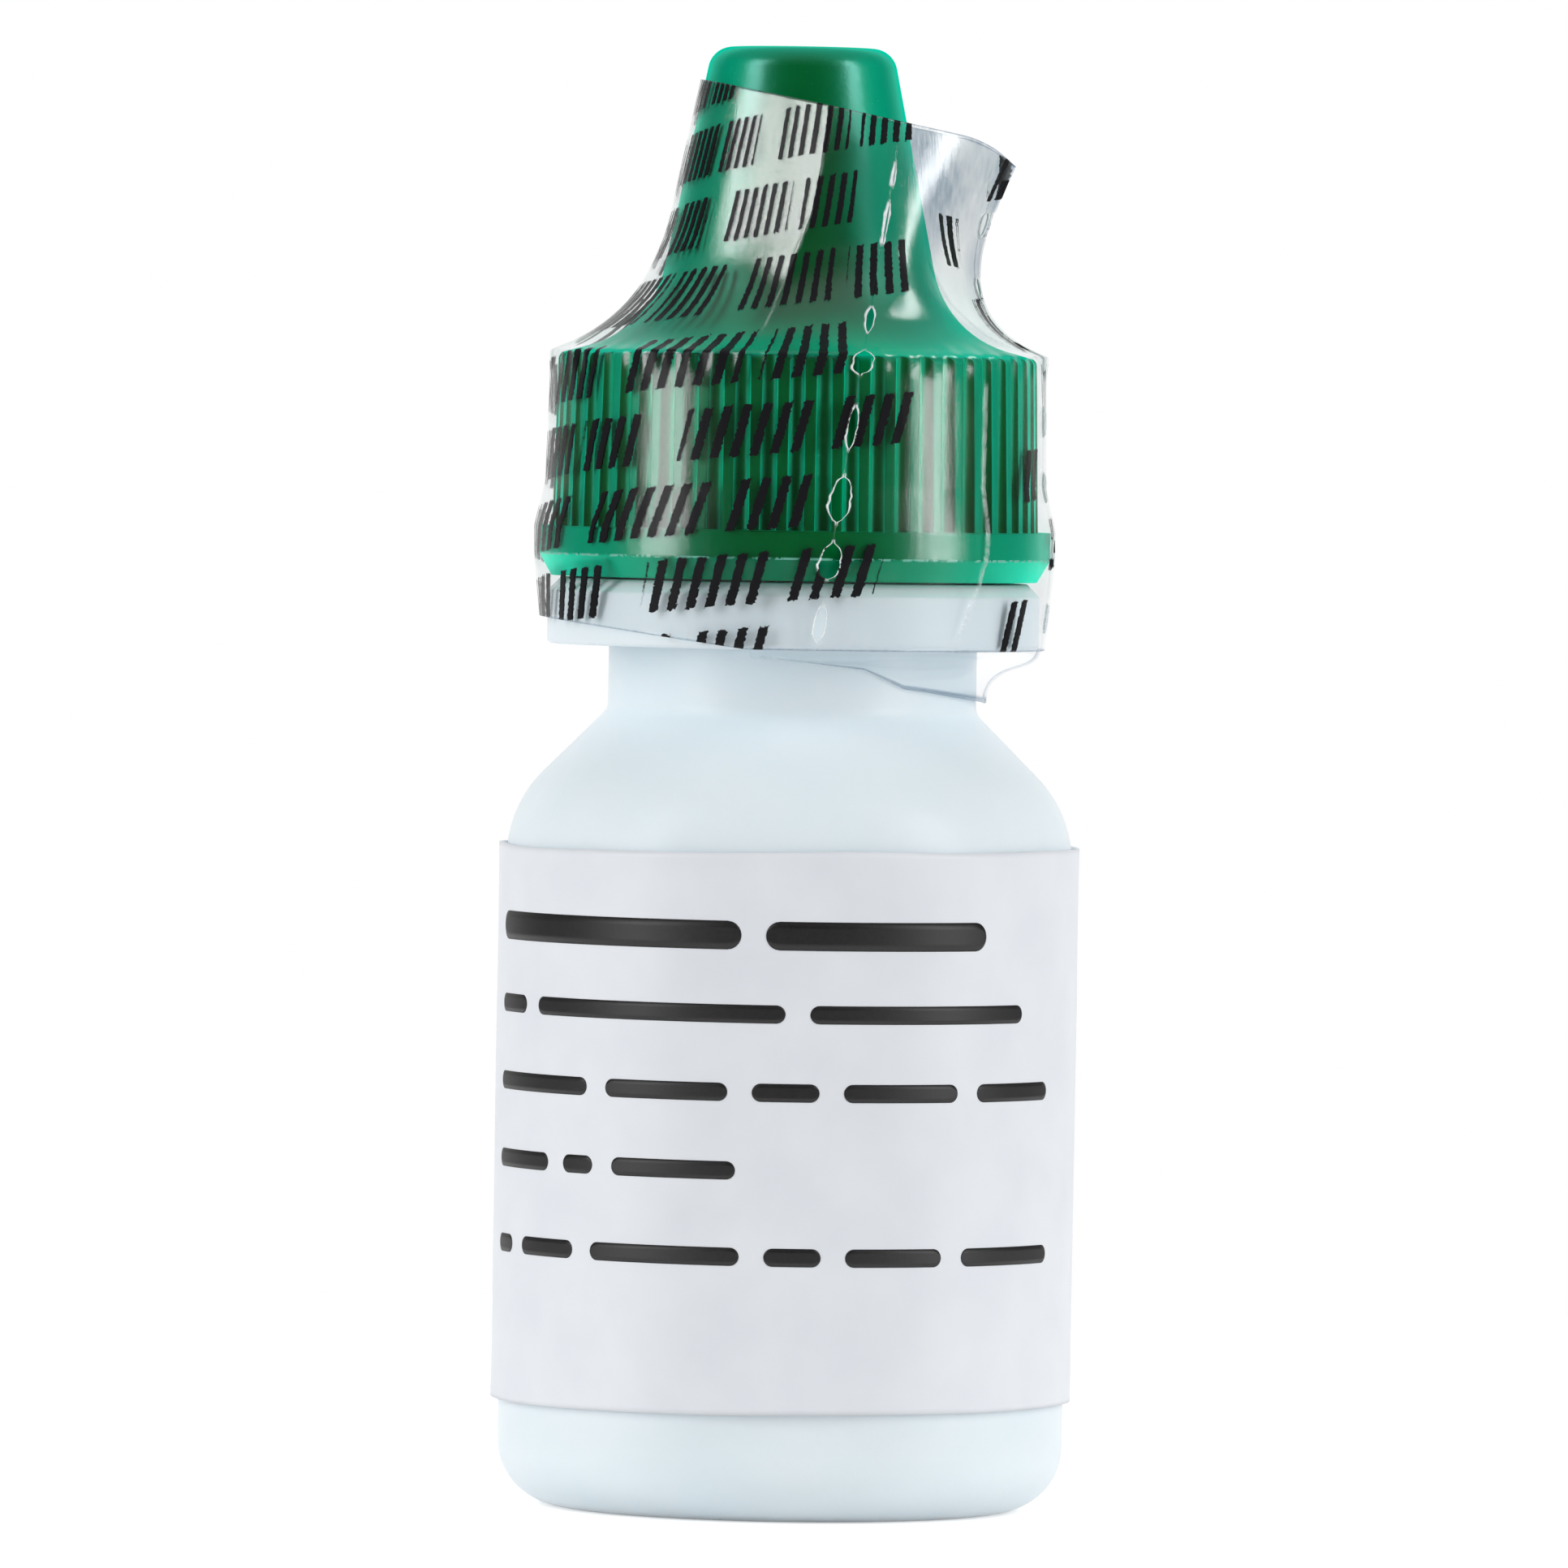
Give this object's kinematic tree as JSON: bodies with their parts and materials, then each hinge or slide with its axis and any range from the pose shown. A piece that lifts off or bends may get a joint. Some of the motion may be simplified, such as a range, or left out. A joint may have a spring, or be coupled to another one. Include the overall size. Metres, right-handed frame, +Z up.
{
  "type": "eye drop bottle",
  "caption": "Eye drop squeeze bottle with a press-in dropper tip, a fluted screw cap with a tapered tower, a wrap-round label and a clear shrink seal with a tear strip.",
  "frame": {"origin": "centre of the base, on the surface that the bottle stands on", "axes": "+Z up along the screw axis, -Y towards the front of the label, +X to the right seen from the front"},
  "size_m": [0.0226, 0.0226, 0.0568],
  "materials": {
    "bottle_polyethylene": "milky translucent blow-moulded polyethylene, satin",
    "tip_polyethylene": "natural translucent moulded polyethylene, satin",
    "eye_drops": "clear watery liquid",
    "label_paper": "smooth coated white paper",
    "cap_polypropylene": "smooth moulded polypropylene, half gloss",
    "seal_film": "clear shrink film, glossy with fine wrinkles"
  },
  "bodies": {
    "bottle": {"bottle": "bottle_polyethylene", "dropper_tip": "tip_polyethylene", "solution": "eye_drops", "label": "label_paper"},
    "seal": {"seal_sleeve": "seal_film"},
    "cap": {"cap": "cap_polypropylene"},
    "strip": {"tear_strip": "seal_film"}
  },
  "joints": [
    {"name": "cap_rise", "type": "slide", "parent": "bottle", "child": "seal", "axis": [0, 0, 1], "range_m": [0, 0.0032]},
    {"name": "cap_turn", "type": "hinge", "parent": "seal", "child": "cap", "pos_m": [0, 0, 0.04], "axis": [0, 0, 1], "range_deg": [0, 540]},
    {"name": "strip_peel", "type": "hinge", "parent": "seal", "child": "strip", "pos_m": [0.00629, -0.0075, 0.03355], "axis": [0.766, 0.6428, 0], "range_deg": [0, 90]}
  ],
  "couplings": [
    {"joint": "cap_rise", "follows": "cap_turn", "m_per_rad": 0.00033693}
  ]
}
